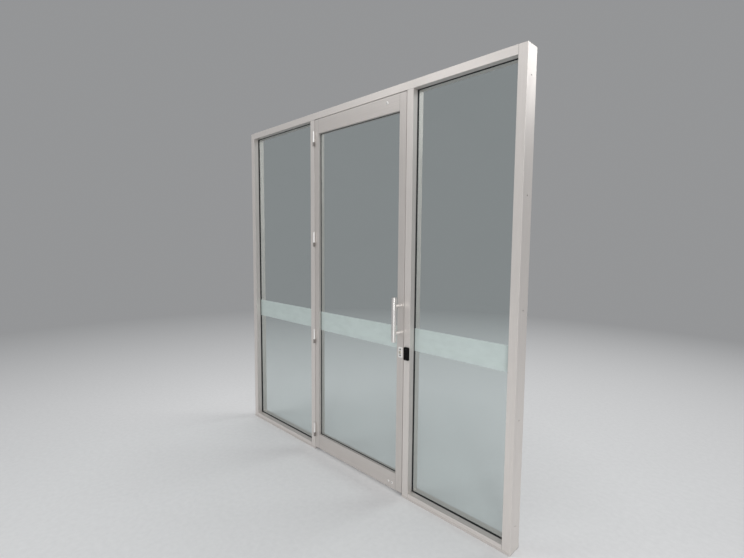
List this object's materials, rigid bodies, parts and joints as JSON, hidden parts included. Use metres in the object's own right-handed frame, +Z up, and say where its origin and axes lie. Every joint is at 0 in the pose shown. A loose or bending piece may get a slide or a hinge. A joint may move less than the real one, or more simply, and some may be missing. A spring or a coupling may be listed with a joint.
{
  "type": "glass entrance door",
  "caption": "Framed glass entrance screen: a hinged glass door with pull handle and dead bolt between fixed glazed side lights, in slim satin aluminium.",
  "frame": {"origin": "on the floor, in the middle of the whole piece's width and depth (its bounding box); the doorway's middle is 90.5 mm to the right, and the frame's front face 12 mm in front", "axes": "+X to the right seen from the front (towards the lock side), +Y from the front to the rear, +Z up; the door opens towards -Y"},
  "size_m": [2.687, 0.184, 2.7],
  "materials": {
    "frame_aluminium": "satin anodised, drawn lines along the length",
    "leaf_aluminium": "satin anodised, drawn lines along the length",
    "clear_glass": "clear, slightly green at its edges",
    "frosted_film": "frosted, translucent grey-green",
    "gasket_rubber": "matt black",
    "block_plastic": "matt",
    "hinge_metal": "satin",
    "pin_steel": "satin",
    "screw_steel": "satin",
    "dark_screw": "blackened",
    "spigot_aluminium": "mill finish",
    "handle_steel": "satin, brushed along the bar",
    "lock_steel": "satin",
    "lock_plate": "satin",
    "cylinder_metal": "satin nickel",
    "reader_black": "gloss black"
  },
  "bodies": {
    "frame": {"left_jamb": "frame_aluminium", "right_jamb": "frame_aluminium", "hinge_mullion": "frame_aluminium", "lock_mullion": "frame_aluminium", "head": "frame_aluminium", "left_sill": "frame_aluminium", "right_sill": "frame_aluminium", "left_subsill": "frame_aluminium", "right_subsill": "frame_aluminium", "head_filler": "frame_aluminium", "hinge_stop": "frame_aluminium", "head_stop": "frame_aluminium", "lock_stop": "frame_aluminium", "left_glass": "clear_glass", "right_glass": "clear_glass", "light_front_gaskets": "gasket_rubber", "light_rear_gaskets": "gasket_rubber", "light_setting_blocks": "block_plastic", "side_light_films": "frosted_film", "stop_seals": "gasket_rubber", "hinge_1_frame_leaf": "hinge_metal", "hinge_2_frame_leaf": "hinge_metal", "hinge_3_frame_leaf": "hinge_metal", "hinge_4_frame_leaf": "hinge_metal", "hinge_pins": "pin_steel", "frame_screws": "screw_steel", "strike_plate": "lock_steel", "reader_base": "reader_black", "reader_cover": "reader_black"},
    "leaf": {"hinge_stile": "leaf_aluminium", "lock_stile": "leaf_aluminium", "top_rail": "leaf_aluminium", "bottom_rail": "leaf_aluminium", "leaf_beads": "leaf_aluminium", "leaf_glass": "clear_glass", "leaf_film": "frosted_film", "leaf_front_gaskets": "gasket_rubber", "leaf_rear_gaskets": "gasket_rubber", "leaf_setting_blocks": "block_plastic", "hinge_1_door_leaf": "hinge_metal", "hinge_2_door_leaf": "hinge_metal", "hinge_3_door_leaf": "hinge_metal", "hinge_4_door_leaf": "hinge_metal", "leaf_hinge_screws": "screw_steel", "handle_bolts": "screw_steel", "rail_bolts": "screw_steel", "rail_tie_rods": "screw_steel", "lock_screws": "dark_screw", "corner_spigots": "spigot_aluminium", "handle_grip": "handle_steel", "handle_caps": "handle_steel", "handle_posts": "handle_steel", "lock_case": "lock_steel", "lock_faceplate": "lock_steel", "front_escutcheon": "lock_plate", "rear_escutcheon": "lock_plate", "key_cylinder": "cylinder_metal"},
    "bolt": {"lock_bolt": "lock_steel"},
    "plug": {"key_plug": "cylinder_metal"},
    "turn": {"thumb_turn": "lock_plate"}
  },
  "joints": [
    {"name": "door_swing", "type": "hinge", "parent": "frame", "child": "leaf", "pos_m": [-0.38, -0.0205, 1.334], "axis": [0, 0, -1], "range_deg": [0, 110]},
    {"name": "lock_bolt_slide", "type": "slide", "parent": "leaf", "child": "bolt", "axis": [1, 0, 0], "range_m": [0, 0.014]},
    {"name": "key_turn", "type": "hinge", "parent": "leaf", "child": "plug", "pos_m": [0.5355, -0.003, 0.983], "axis": [0, 1, 0], "range_deg": [0, 90]},
    {"name": "thumb_turn_turn", "type": "hinge", "parent": "leaf", "child": "turn", "pos_m": [0.5355, 0.038, 0.983], "axis": [0, 1, 0], "range_deg": [0, 90]}
  ],
  "couplings": [
    {"joint": "key_turn", "follows": "lock_bolt_slide", "rad_per_m": 112.19},
    {"joint": "thumb_turn_turn", "follows": "lock_bolt_slide", "rad_per_m": 112.19}
  ]
}
